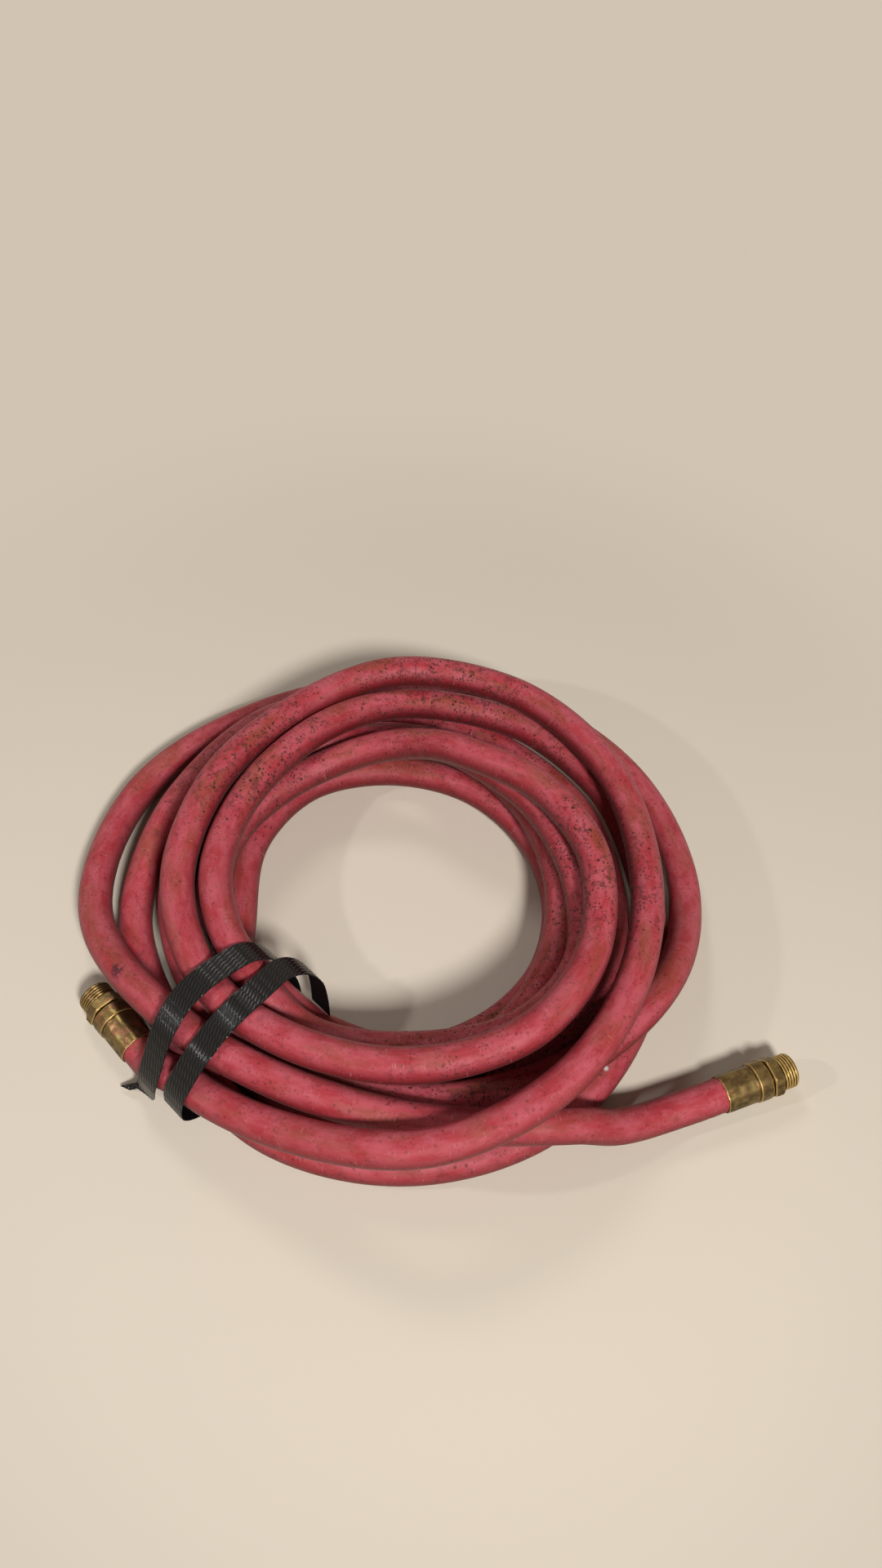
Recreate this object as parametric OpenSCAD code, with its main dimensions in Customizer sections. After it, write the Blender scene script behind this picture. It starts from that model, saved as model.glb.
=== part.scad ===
// A long rubber gas hose laid down as a loose coil. It has a crimped brass end
// fitting at each end, and a strap wound twice round one side of the coil.
// The hose is one tube: its route is a list of places round the coil, and the
// wall is swept along a smooth curve through them.

/* [Hose] */
// outside diameter of the hose
hose_od = 21.5; // [18:0.1:25]
// thickness of the hose's rubber wall
hose_wall = 4.4; // [3:0.1:5.5]
// free space kept between turns that lie side by side
turn_gap = 0.5; // [0.3:0.1:2]
// radius of the innermost lane, from the coil's centre to the hose's centre line
coil_radius = 102; // [90:1:130]

/* [End fittings] */
// length of the crimped skirt over the hose
skirt_length = 22; // [16:0.5:30]
// thickness of the skirt's wall outside the hose
skirt_wall = 0.85; // [0.5:0.05:2]
// depth of the eight crimped flats below the skirt's round surface
crimp_depth = 0.35; // [0.1:0.05:0.5]
// length of the round collar at the closed end of the skirt
collar_length = 8.5; // [5:0.5:14]
// how far the collar stands out beyond the skirt
collar_step = 0.6; // [0.2:0.1:1.5]
// thickness of the end wall that grips the stem
lip_length = 6; // [2:0.5:8]
// length of the groove between collar and hexagon
groove_length = 1.5; // [0.5:0.1:4]
// diameter at the bottom of that groove
groove_diameter = 19; // [15:0.5:20]
// hexagon, across its flats
hex_across_flats = 22.2; // [19:0.1:27]
// length of the hexagon
hex_length = 7; // [4:0.5:12]
// outside diameter of the pipe thread
thread_diameter = 21.3; // [18:0.1:22]
// length of the threaded nose
thread_length = 10.5; // [8:0.5:20]
// thickness of the stem's wall inside the hose
stem_wall = 1.55; // [1:0.05:2.5]
// how far the stem's neck, where the end wall grips it, stands out beyond its tail
neck_step = 0.7; // [0.3:0.1:1.5]

/* [Strap] */
// width of the strap
strap_width = 16; // [10:0.5:20]
// thickness of the strap
strap_thickness = 0.8; // [0.5:0.1:1]

/* [Hidden] */
// coil's centre, measured from the middle of the whole object's footprint
coil_centre = [-15.5, -6];
// centre-to-centre distance of two turns that lie side by side
pitch = hose_od + turn_gap;
// number of sides of the hose's round section, and rings in each step of the route
hose_sides = 8;
rings_per_step = 3;
strap_rings_per_step = 3;
// radial clearances: hose in skirt, stem in hose
skirt_clearance = 0.05;
stem_clearance = 0.05;
// bore of the hose, and the stem's tail, neck and gas way that fit it
hose_bore = hose_od - 2 * hose_wall;
tail_diameter = hose_bore - 2 * stem_clearance;
neck_diameter = tail_diameter + 2 * neck_step;
stem_bore = tail_diameter - 2 * stem_wall;
// clearance of the strap from the bench
bench_clearance = 0.1;
round_steps = 64;

// Each turn of the route has twelve places, 30 degrees apart, counted from the
// front left and counter-clockwise seen from above. A place is [lane, layer]:
// lanes are counted outwards from coil_radius and layers upwards from the
// bench, both in pitches.
first_angle = 240;
angle_step = 30;
turn_1 = [[3.35, 1.45], [3.5, 2.5], [2.95, 2.4], [2.5, 2.3], [2.45, 2.1], [2.85, 2.05],
          [3.15, 2.05], [2.8, 2.3], [2.1, 2.15], [1.7, 2.4], [1.75, 2.15], [1.65, 2.1]];
turn_2 = [[1.4, 2.4], [1.4, 2.6], [1.5, 2.85], [1.2, 2.8], [0.7, 3.05], [0.05, 3.0],
          [-0.4, 2.9], [0.15, 1.9], [0.4, 1.25], [0.8, 0.95], [0.9, 1.0], [0.25, 1.1]];
turn_3 = [[-0.1, 0.1], [0, 0], [-0.05, 0], [0.05, 0], [0.15, 0], [0.25, 0],
          [0.4, 0], [0.55, 0], [0.75, 0], [0.5, 0], [0.15, 0], [0.75, 0.05]];
turn_4 = [[1.0, 0.05], [0.95, 0.35], [0.6, 1.0], [0.2, 1.05], [0.1, 1.0], [0.3, 1.0],
          [0.8, 1.0], [1.9, 0.1], [1.9, 0], [1.55, 0], [1.8, 0], [1.8, 0.05]];
turn_5 = [[2.1, 0.05], [1.95, 0], [1.25, 0], [1.65, 0], [1.8, 0], [2.15, 0],
          [2.4, 0], [2.95, 0], [3.2, 0.8], [3.0, 0.8], [3.2, 0.15], [2.85, 0.05]];
turn_6 = [[3.15, 0.05], [3.15, 0], [3.15, 0], [2.95, 0], [2.95, 0.05], [2.8, 1.0],
          [2.8, 1.0], [2.0, 1.65], [1.05, 2.1], [0.75, 2.0], [0.7, 2.05], [0.6, 2.1]];
turn_7 = [[0.55, 1.2], [0.5, 1.5], [1.0, 1.95], [0.95, 1.75], [0.35, 2.05], [0.1, 2.0],
          [0.1, 2.0], [1.1, 0.9], [1.4, 0.95], [1.85, 1.05], [1.95, 1.05], [1.8, 1.05]];
turn_8 = [[1.6, 1.0], [1.75, 1.0], [2.2, 0.9], [3.2, 1.2], [4.1, 0.1], [4.45, 0],
          [4.4, 0], [4.05, 0], [4.15, 0], [4.65, 0], [4.3, 0.5], [2.95, 1.55]];
turn_9 = [[2.3, 1.85], [2.5, 1.65], [3.75, 1.05]];
turns = concat(turn_1, turn_2, turn_3, turn_4, turn_5, turn_6, turn_7, turn_8, turn_9);

// Places of the two leads, as [angle, lane, layer]: from the left skirt's mouth
// to the first turn, and from the last turn to the right skirt's mouth.
left_lead = [[209.5, 3.9, 0.2], [212, 3.85, 0.22], [215, 3.8, 0.45],
             [220, 3.6, 0.85], [229.5, 3.45, 1.15]];
right_lead = [[307.5, 4.35, 0.4], [315, 4.95, 0.1], [322, 5.75, 0.1], [323.5, 5.95, 0.1]];

// Places of the strap's centre line, as [lane, drift, layer]: lanes along the
// radius at strap_angle, drift in mm sideways along the hose.
strap_angle = 222;
strap_over = [[4.75, -24, -0.4], [4.35, -20, -0.3], [4.3, -17, 0.15], [4.25, -15, 0.75],
              [3.9, -16, 1.45], [3.25, -20, 2.25], [2.35, -24, 2.65], [1.6, -24, 2.75],
              [0.6, -21, 2.75], [0, -18, 2.4], [-0.4, -14, 1.6], [-0.55, -8, 0.9],
              [-0.3, -2, 0]];
strap_under = [[0.2, 1], [1.3, 3], [3.1, 6]];
strap_again = [[3.7, 7, -0.15], [4.15, 7, 0.5], [4.05, 6, 1.15], [3.65, 6, 1.75],
               [2.95, 5, 2.3], [2.2, 3, 2.5], [1.45, 4, 2.8], [0.55, 2, 2.65],
               [-0.05, 0, 2.4], [-0.5, 2, 2.1], [-0.8, 8, 1.6], [-0.75, 14, 1.0],
               [-0.6, 19, 0.5]];

rubber_red = [0.66, 0.25, 0.27];
brass = [0.70, 0.58, 0.32];
strap_black = [0.05, 0.05, 0.05];

// Smooth curve through a list of points

function unit(v) = v / norm(v);
function chord(p, i) = unit(p[i + 1] - p[i]);
function chord_length(p, i) = norm(p[i + 1] - p[i]);
function harmonic(a, b) = a * b <= 0 ? 0 : 2 * a * b / (a + b);

// Direction at a point: the two chords blended by length, and the height's
// slope kept between the two slopes, so the curve never dips below a low place.
function blended(p, i) =
    (chord(p, i - 1) * chord_length(p, i) + chord(p, i) * chord_length(p, i - 1))
    / (chord_length(p, i) + chord_length(p, i - 1));
function level(v, z) = [v[0], v[1], z];
function direction(p, i) =
    i == 0 ? chord(p, 0)
    : i == len(p) - 1 ? chord(p, i - 1)
    : level(blended(p, i), harmonic(chord(p, i - 1)[2], chord(p, i)[2]));

function curve_at(p, d, i, t) =
    (2 * t * t * t - 3 * t * t + 1) * p[i]
    + (t * t * t - 2 * t * t + t) * chord_length(p, i) * d[i]
    + (3 * t * t - 2 * t * t * t) * p[i + 1]
    + (t * t * t - t * t) * chord_length(p, i) * d[i + 1];
function slope_at(p, d, i, t) = unit(
    (6 * t * t - 6 * t) * p[i]
    + (3 * t * t - 4 * t + 1) * chord_length(p, i) * d[i]
    + (6 * t - 6 * t * t) * p[i + 1]
    + (3 * t * t - 2 * t) * chord_length(p, i) * d[i + 1]);

// The hose

function spot(angle, lane, layer) = [
    coil_centre[0] + (coil_radius + lane * pitch) * cos(angle),
    coil_centre[1] + (coil_radius + lane * pitch) * sin(angle),
    hose_od / 2 + layer * pitch];

route = concat(
    [for (q = left_lead) spot(q[0], q[1], q[2])],
    [for (i = [0 : len(turns) - 1])
        spot(first_angle + angle_step * i, turns[i][0], turns[i][1])],
    [for (q = right_lead) spot(q[0], q[1], q[2])]);
route_directions = [for (i = [0 : len(route) - 1]) direction(route, i)];
route_end = len(route) - 1;

// Hose inside each skirt runs straight on from the mouth to the end wall.
hose_in_skirt = skirt_length + collar_length - lip_length;
left_mouth = route[0];
left_axis = -route_directions[0];
right_mouth = route[route_end];
right_axis = route_directions[route_end];

// A ring is [centre, direction]
hose_rings = concat(
    [[left_mouth + left_axis * hose_in_skirt, -left_axis]],
    [for (i = [0 : route_end - 1], k = [0 : rings_per_step - 1])
        [curve_at(route, route_directions, i, k / rings_per_step),
         slope_at(route, route_directions, i, k / rings_per_step)]],
    [[right_mouth, right_axis],
     [right_mouth + right_axis * hose_in_skirt, right_axis]]);

function side_of(d) = unit(cross([0, 0, 1], d));
function ring_points(c, d, r, n) = [
    for (k = [0 : n - 1])
        c + r * (cos(90 + k * 360 / n) * side_of(d)
                 + sin(90 + k * 360 / n) * cross(d, side_of(d)))];

// Bore flats lie on the bore's circle, so a round stem fits inside them.
bore_corner_radius = hose_bore / 2 / cos(180 / hose_sides);

module hose() {
    n = hose_sides;
    rings = len(hose_rings);
    points = concat(
        [for (q = hose_rings) each ring_points(q[0], q[1], hose_od / 2, n)],
        [for (q = hose_rings) each ring_points(q[0], q[1], bore_corner_radius, n)]);
    bore = rings * n;
    last = (rings - 1) * n;
    faces = concat(
        [for (j = [0 : rings - 2], k = [0 : n - 1]) each [
            [j * n + k, j * n + (k + 1) % n, (j + 1) * n + (k + 1) % n],
            [j * n + k, (j + 1) * n + (k + 1) % n, (j + 1) * n + k]]],
        [for (j = [0 : rings - 2], k = [0 : n - 1]) each [
            [bore + j * n + k, bore + (j + 1) * n + (k + 1) % n, bore + j * n + (k + 1) % n],
            [bore + j * n + k, bore + (j + 1) * n + k, bore + (j + 1) * n + (k + 1) % n]]],
        [for (k = [0 : n - 1]) [k, bore + k, bore + (k + 1) % n, (k + 1) % n]],
        [for (k = [0 : n - 1])
            [last + k, last + (k + 1) % n, bore + last + (k + 1) % n, bore + last + k]]);
    color(rubber_red) polyhedron(points = points, faces = faces);
}

// The end fittings, drawn along +X from the skirt's mouth

skirt_radius = hose_od / 2 + skirt_clearance + skirt_wall;
collar_radius = skirt_radius + collar_step;
ferrule_length = skirt_length + collar_length;
hex_start = ferrule_length + groove_length;
thread_start = hex_start + hex_length;
fitting_length = thread_start + thread_length;
// diameter to which the hexagon's corners are turned down at its two ends
hex_end_diameter = hex_across_flats + 1.2;
thread_chamfer = 1.2;
crimp_flats = 8;
// the stem's tail stops this far inside the skirt's mouth
tail_start = 1;
// how far a cutting tool runs past the piece
overrun = 1;

// Places the child with its +X along an axis through a mouth
module at_mouth(mouth, axis) {
    side = side_of(axis);
    top = cross(axis, side);
    multmatrix([
        [axis[0], side[0], top[0], mouth[0]],
        [axis[1], side[1], top[1], mouth[1]],
        [axis[2], side[2], top[2], mouth[2]],
        [0, 0, 0, 1]]) children();
}

// A round or many-sided length of the fitting, from a start along its axis
module turned(start, length, diameter, sides = round_steps) {
    translate([start, 0, 0]) rotate([0, 90, 0]) cylinder(d = diameter, h = length, $fn = sides);
}

// A tapered length of the fitting
module tapered(start, length, first_diameter, last_diameter) {
    translate([start, 0, 0]) rotate([0, 90, 0])
        cylinder(d1 = first_diameter, d2 = last_diameter, h = length, $fn = round_steps);
}

module ferrule() {
    half_flat = 180 / crimp_flats;
    difference() {
        union() {
            intersection() {
                turned(0, skirt_length, 2 * skirt_radius);
                // the flats that the crimping jaws left
                rotate([half_flat, 0, 0])
                    turned(0, skirt_length, 2 * (skirt_radius - crimp_depth) / cos(half_flat), crimp_flats);
            }
            turned(skirt_length, collar_length, 2 * collar_radius);
        }
        turned(-overrun, hose_in_skirt + overrun, hose_od + 2 * skirt_clearance);
        turned(-overrun, ferrule_length + 2 * overrun, neck_diameter);
    }
}

module hexagon() {
    half = hex_length / 2;
    widest = hex_end_diameter + hex_length;
    intersection() {
        turned(hex_start, hex_length, hex_across_flats / cos(30), 6);
        union() {
            tapered(hex_start, half, hex_end_diameter, widest);
            tapered(hex_start + half, half, widest, hex_end_diameter);
        }
    }
}

module stem() {
    difference() {
        union() {
            turned(tail_start, hose_in_skirt - tail_start, tail_diameter);
            turned(hose_in_skirt, lip_length, neck_diameter);
            turned(ferrule_length, groove_length, groove_diameter);
            hexagon();
            turned(thread_start, thread_length - thread_chamfer, thread_diameter);
            tapered(fitting_length - thread_chamfer, thread_chamfer,
                    thread_diameter, thread_diameter - 2 * thread_chamfer);
        }
        turned(0, fitting_length + overrun, stem_bore);
    }
}

module left_ferrule() { color(brass) at_mouth(left_mouth, left_axis) ferrule(); }
module left_stem() { color(brass) at_mouth(left_mouth, left_axis) stem(); }
module right_ferrule() { color(brass) at_mouth(right_mouth, right_axis) ferrule(); }
module right_stem() { color(brass) at_mouth(right_mouth, right_axis) stem(); }

// The strap

strap_out = [cos(strap_angle), sin(strap_angle), 0];
strap_side = [-sin(strap_angle), cos(strap_angle), 0];

function strap_spot(lane, drift, z) =
    [coil_centre[0], coil_centre[1], z] + (coil_radius + lane * pitch) * strap_out + drift * strap_side;
strap_floor = bench_clearance + strap_thickness / 2;
function strap_height(layer) = max(strap_floor, hose_od / 2 + layer * pitch);

strap_route = concat(
    [for (q = strap_over) strap_spot(q[0], q[1], strap_height(q[2]))],
    [for (q = strap_under) strap_spot(q[0], q[1], strap_floor)],
    [for (q = strap_again) strap_spot(q[0], q[1], strap_height(q[2]))]);
strap_directions = [for (i = [0 : len(strap_route) - 1]) direction(strap_route, i)];
strap_end = len(strap_route) - 1;
strap_rings = concat(
    [for (i = [0 : strap_end - 1], k = [0 : strap_rings_per_step - 1])
        [curve_at(strap_route, strap_directions, i, k / strap_rings_per_step),
         slope_at(strap_route, strap_directions, i, k / strap_rings_per_step)]],
    [[strap_route[strap_end], strap_directions[strap_end]]]);

// Four corners of the strap's section: its width always lies along strap_side.
function strap_corners(c, d) =
    let (face = unit(cross(strap_side, d)))
    [for (s = [[-1, -1], [1, -1], [1, 1], [-1, 1]])
        c + s[0] * strap_width / 2 * strap_side + s[1] * strap_thickness / 2 * face];

module strap() {
    rings = len(strap_rings);
    points = [for (q = strap_rings) each strap_corners(q[0], q[1])];
    last = (rings - 1) * 4;
    faces = concat(
        [for (j = [0 : rings - 2], k = [0 : 3]) each [
            [j * 4 + k, (j + 1) * 4 + (k + 1) % 4, j * 4 + (k + 1) % 4],
            [j * 4 + k, (j + 1) * 4 + k, (j + 1) * 4 + (k + 1) % 4]]],
        [[0, 1, 2, 3], [last + 3, last + 2, last + 1, last]]);
    color(strap_black) polyhedron(points = points, faces = faces);
}

hose();
left_ferrule();
left_stem();
right_ferrule();
right_stem();
strap();
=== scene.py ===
# %% [markdown]
# # A coiled red gas hose, with crimped brass ends and a black strap
#
# The solids come ready made, at their real size. This lesson dresses them: it
# sweeps a smooth hose along the same route as the solid one, turns two threaded
# brass stems and two crimped ferrules, lays an embossed strap over the turns,
# and gives each of them a finish made of shader nodes. Lengths are in metres.

# %% Load the solids
import math

import bmesh
import bpy
import numpy as np
from mathutils import Matrix, Vector


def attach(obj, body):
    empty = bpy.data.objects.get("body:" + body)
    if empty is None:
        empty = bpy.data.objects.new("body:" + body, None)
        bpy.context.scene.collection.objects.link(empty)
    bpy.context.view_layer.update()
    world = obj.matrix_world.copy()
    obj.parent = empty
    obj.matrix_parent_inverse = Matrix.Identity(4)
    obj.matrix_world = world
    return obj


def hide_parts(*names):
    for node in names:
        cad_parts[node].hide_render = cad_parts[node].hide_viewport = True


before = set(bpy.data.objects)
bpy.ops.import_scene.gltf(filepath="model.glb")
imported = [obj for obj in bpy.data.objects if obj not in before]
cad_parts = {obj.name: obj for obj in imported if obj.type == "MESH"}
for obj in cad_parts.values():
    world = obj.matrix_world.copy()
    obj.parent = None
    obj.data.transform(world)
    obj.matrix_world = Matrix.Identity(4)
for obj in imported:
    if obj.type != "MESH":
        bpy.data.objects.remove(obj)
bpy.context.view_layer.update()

print("solids:", sorted(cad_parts))

# %% [markdown]
# ## The camera first
#
# The photograph looks steeply down at the coil from its front. A camera is a
# place and three directions. Writing the directions as a matrix is exact, where
# angles have to be guessed again each time the place changes. The lens fits the
# picture's height, because the picture stands upright.

# %% Set the camera
CAMERA_PLACE = Vector((-0.0551, -0.3946, 0.695))
CAMERA_RIGHT = Vector((0.9959, -0.0719, 0.0557))
CAMERA_UP = Vector((0.0259, 0.8115, 0.5838))
CAMERA_AHEAD = Vector((0.0872, 0.5799, -0.8100))
LENS_MM = 18.04
SENSOR_MM = 24.0


def set_camera():
    lens = bpy.data.cameras.new("camera")
    lens.sensor_fit = "VERTICAL"
    lens.sensor_height = SENSOR_MM
    lens.lens = LENS_MM
    lens.clip_start = 0.01
    camera = bpy.data.objects.new("camera", lens)
    bpy.context.scene.collection.objects.link(camera)
    turn = Matrix((CAMERA_RIGHT, CAMERA_UP, -CAMERA_AHEAD)).transposed()
    camera.matrix_world = Matrix.Translation(CAMERA_PLACE) @ turn.to_4x4()
    bpy.context.scene.camera = camera
    return camera


camera = set_camera()
bpy.context.scene.view_settings.view_transform = "Standard"
print("camera", round(camera.location.z, 3), "m above the floor")

# %% [markdown]
# ## The hose's route
#
# A hose this long is hard to draw freehand, so its route is a table. Each turn
# has twelve places, thirty degrees apart. A place is a lane, counted outwards
# from the innermost turn, and a layer, counted up from the floor, both in hose
# widths. The table says where each turn lies beside or on another, and a curve
# through the places makes it smooth.

# %% Write the route's places
HOSE_OD = 0.0215
HOSE_BORE = 0.0127
TURN_GAP = 0.0005
PITCH = HOSE_OD + TURN_GAP
COIL_RADIUS = 0.102
COIL_CENTRE = (-0.0155, -0.006)
FIRST_ANGLE = 240
ANGLE_STEP = 30

TURNS = [
    [(3.35, 1.45), (3.5, 2.5), (2.95, 2.4), (2.5, 2.3), (2.45, 2.1), (2.85, 2.05),
     (3.15, 2.05), (2.8, 2.3), (2.1, 2.15), (1.7, 2.4), (1.75, 2.15), (1.65, 2.1)],
    [(1.4, 2.4), (1.4, 2.6), (1.5, 2.85), (1.2, 2.8), (0.7, 3.05), (0.05, 3.0),
     (-0.4, 2.9), (0.15, 1.9), (0.4, 1.25), (0.8, 0.95), (0.9, 1.0), (0.25, 1.1)],
    [(-0.1, 0.1), (0, 0), (-0.05, 0), (0.05, 0), (0.15, 0), (0.25, 0),
     (0.4, 0), (0.55, 0), (0.75, 0), (0.5, 0), (0.15, 0), (0.75, 0.05)],
    [(1.0, 0.05), (0.95, 0.35), (0.6, 1.0), (0.2, 1.05), (0.1, 1.0), (0.3, 1.0),
     (0.8, 1.0), (1.9, 0.1), (1.9, 0), (1.55, 0), (1.8, 0), (1.8, 0.05)],
    [(2.1, 0.05), (1.95, 0), (1.25, 0), (1.65, 0), (1.8, 0), (2.15, 0),
     (2.4, 0), (2.95, 0), (3.2, 0.8), (3.0, 0.8), (3.2, 0.15), (2.85, 0.05)],
    [(3.15, 0.05), (3.15, 0), (3.15, 0), (2.95, 0), (2.95, 0.05), (2.8, 1.0),
     (2.8, 1.0), (2.0, 1.65), (1.05, 2.1), (0.75, 2.0), (0.7, 2.05), (0.6, 2.1)],
    [(0.55, 1.2), (0.5, 1.5), (1.0, 1.95), (0.95, 1.75), (0.35, 2.05), (0.1, 2.0),
     (0.1, 2.0), (1.1, 0.9), (1.4, 0.95), (1.85, 1.05), (1.95, 1.05), (1.8, 1.05)],
    [(1.6, 1.0), (1.75, 1.0), (2.2, 0.9), (3.2, 1.2), (4.1, 0.1), (4.45, 0),
     (4.4, 0), (4.05, 0), (4.15, 0), (4.65, 0), (4.3, 0.5), (2.95, 1.55)],
    [(2.3, 1.85), (2.5, 1.65), (3.75, 1.05)],
]
# Places of the two leads, as (angle, lane, layer)
LEFT_LEAD = [(209.5, 3.9, 0.2), (212, 3.85, 0.22), (215, 3.8, 0.45),
             (220, 3.6, 0.85), (229.5, 3.45, 1.15)]
RIGHT_LEAD = [(307.5, 4.35, 0.4), (315, 4.95, 0.1), (322, 5.75, 0.1), (323.5, 5.95, 0.1)]


def spot(angle, lane, layer):
    """A place of the route, as a point."""
    reach = COIL_RADIUS + lane * PITCH
    turn = math.radians(angle)
    return np.array([COIL_CENTRE[0] + reach * math.cos(turn),
                     COIL_CENTRE[1] + reach * math.sin(turn),
                     HOSE_OD / 2 + layer * PITCH])


def hose_places():
    places = [spot(*q) for q in LEFT_LEAD]
    for i, (lane, layer) in enumerate(sum(TURNS, [])):
        places.append(spot(FIRST_ANGLE + ANGLE_STEP * i, lane, layer))
    return np.array(places + [spot(*q) for q in RIGHT_LEAD])


hose_route = hose_places()
print("the hose's route has", len(hose_route), "places")

# %% [markdown]
# ## One smooth curve
#
# The curve leaves each place in a direction blended from the two chords that
# meet there. The height is treated with more care: its slope never goes beyond
# the gentler of its two neighbours', so a turn that rests on the floor never
# dips through it. Each ring of the hose needs a point and a direction.

# %% Sample the curve


def gentler(a, b):
    """The harmonic mean of two slopes, or level where one rises and one falls."""
    return 0.0 if a * b <= 0 else 2 * a * b / (a + b)


def directions(places):
    steps = np.diff(places, axis=0)
    lengths = np.linalg.norm(steps, axis=1)
    chords = steps / lengths[:, None]
    out = [chords[0]]
    for i in range(1, len(chords)):
        before, after = lengths[i - 1], lengths[i]
        way = (chords[i - 1] * after + chords[i] * before) / (before + after)
        way[2] = gentler(chords[i - 1][2], chords[i][2])
        out.append(way)
    out.append(chords[-1])
    return np.array(out), lengths


def smooth_curve(places, spacing, fine_spacing=None, fine_steps=0):
    """Points and unit directions along the curve through the places.

    The first and last fine_steps steps are sampled at the finer spacing."""
    ways, lengths = directions(places)
    points, slopes = [], []
    for i, length in enumerate(lengths):
        near_end = i < fine_steps or i >= len(lengths) - fine_steps
        wanted = fine_spacing if near_end else spacing
        count = max(2, math.ceil(length / wanted))
        t = (np.arange(count) / count)[:, None]
        a, b = places[i], places[i + 1]
        m, n = ways[i] * length, ways[i + 1] * length
        points.append((2 * t**3 - 3 * t**2 + 1) * a + (t**3 - 2 * t**2 + t) * m
                      + (3 * t**2 - 2 * t**3) * b + (t**3 - t**2) * n)
        slopes.append((6 * t**2 - 6 * t) * a + (3 * t**2 - 4 * t + 1) * m
                      + (6 * t - 6 * t**2) * b + (3 * t**2 - 2 * t) * n)
    points = np.vstack(points + [places[-1:]])
    slopes = np.vstack(slopes + [ways[-1:]])
    return points, slopes / np.linalg.norm(slopes, axis=1)[:, None]


RING_SPACING = 0.0036
RING_SPACING_AT_CRIMPS = 0.0009
STEPS_WITH_CRIMPS = 3
curve_points, curve_ways = smooth_curve(hose_route, RING_SPACING, RING_SPACING_AT_CRIMPS,
                                        STEPS_WITH_CRIMPS)

# %% [markdown]
# ## A mesh from rows of points
#
# Every piece here is a skin over rows of points: rings along a hose, rings
# along a turned fitting, or lines across a strap. One helper joins the rows
# with quads. It also stores, for each point, where that point would lie if the
# piece were straight. The finishes read that place, so their bands and specks
# follow the hose round its bends and never swim.

# %% Make the skin helper


def skin(rows, straight, flip=False):
    """Quads between neighbouring closed rows: (points, straight places, faces)."""
    count, across = rows.shape[:2]
    index = np.arange(count * across).reshape(count, across)
    faces = []
    for k in range(across):
        after = (k + 1) % across
        quad = np.stack([index[:-1, k], index[:-1, after], index[1:, after], index[1:, k]], 1)
        faces.append(quad[:, ::-1] if flip else quad)
    return rows.reshape(-1, 3), straight.reshape(-1, 3), np.vstack(faces)


def join(parts):
    """Several skins as one list of points and faces."""
    points, straights, faces, start = [], [], [], 0
    for p, s, f in parts:
        points.append(p)
        straights.append(s)
        faces.append(f + start)
        start += len(p)
    return np.vstack(points), np.vstack(straights), np.vstack(faces)


WELD_REACH = 1e-7


def weld_and_make(name, parts, sharp_angle):
    """One object from skins, with doubled points merged and sharp edges marked."""
    points, straights, faces = join(parts)
    _, first, where = np.unique(np.round(points / WELD_REACH).astype(np.int64), axis=0,
                                return_index=True, return_inverse=True)
    where = where.reshape(-1)
    points, straights, faces = points[first], straights[first], where[faces]
    clean = []
    for face in faces.tolist():
        corners = [v for k, v in enumerate(face) if v != face[k - 1]]
        if len(corners) > 2:
            clean.append(corners)
    mesh = bpy.data.meshes.new(name)
    mesh.from_pydata(points.tolist(), [], clean)
    mesh.polygons.foreach_set("use_smooth", [True] * len(mesh.polygons))
    mesh.set_sharp_from_angle(angle=math.radians(sharp_angle))
    layer = mesh.attributes.new("straight", "FLOAT_VECTOR", "POINT")
    layer.data.foreach_set("vector", straights.reshape(-1))
    mesh.validate()
    piece = bpy.data.objects.new(name, mesh)
    bpy.context.scene.collection.objects.link(piece)
    return piece


UP = np.array([0.0, 0.0, 1.0])


def frames(ways):
    """A level side and a top direction for each direction along a piece."""
    side = np.cross(UP, ways)
    side /= np.linalg.norm(side, axis=1)[:, None]
    return side, np.cross(ways, side)


print("helpers ready")

# %% [markdown]
# ## The hose
#
# The real hose is one rubber tube. It could be a curve with a round bevel, but
# a swept mesh lets the rubber swell and pinch: three faint rings lie just outside
# each brass skirt, as the photograph shows them at the right one, and elsewhere
# the tube is a little uneven. The wall has its bore too, and both ends run on
# straight inside the skirts, up to the brass that closes them.

# %% Sweep the hose
SKIRT_LENGTH = 0.022
COLLAR_LENGTH = 0.0085
LIP_LENGTH = 0.006
HOSE_IN_SKIRT = SKIRT_LENGTH + COLLAR_LENGTH - LIP_LENGTH
CRIMP_RINGS = (0.0035, 0.0075, 0.0125)
CRIMP_RING_DEPTH = 0.00016
CRIMP_RING_WIDTH = 0.0007
HOSE_SIDES = 28
BORE_SIDES = 12
UNEVEN = 0.00006
UNEVEN_WAVES = (61.0, 23.0)
HOSE_SHARP_ANGLE = 60

left_mouth, right_mouth = curve_points[0], curve_points[-1]
left_axis, right_axis = -curve_ways[0], curve_ways[-1]


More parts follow.
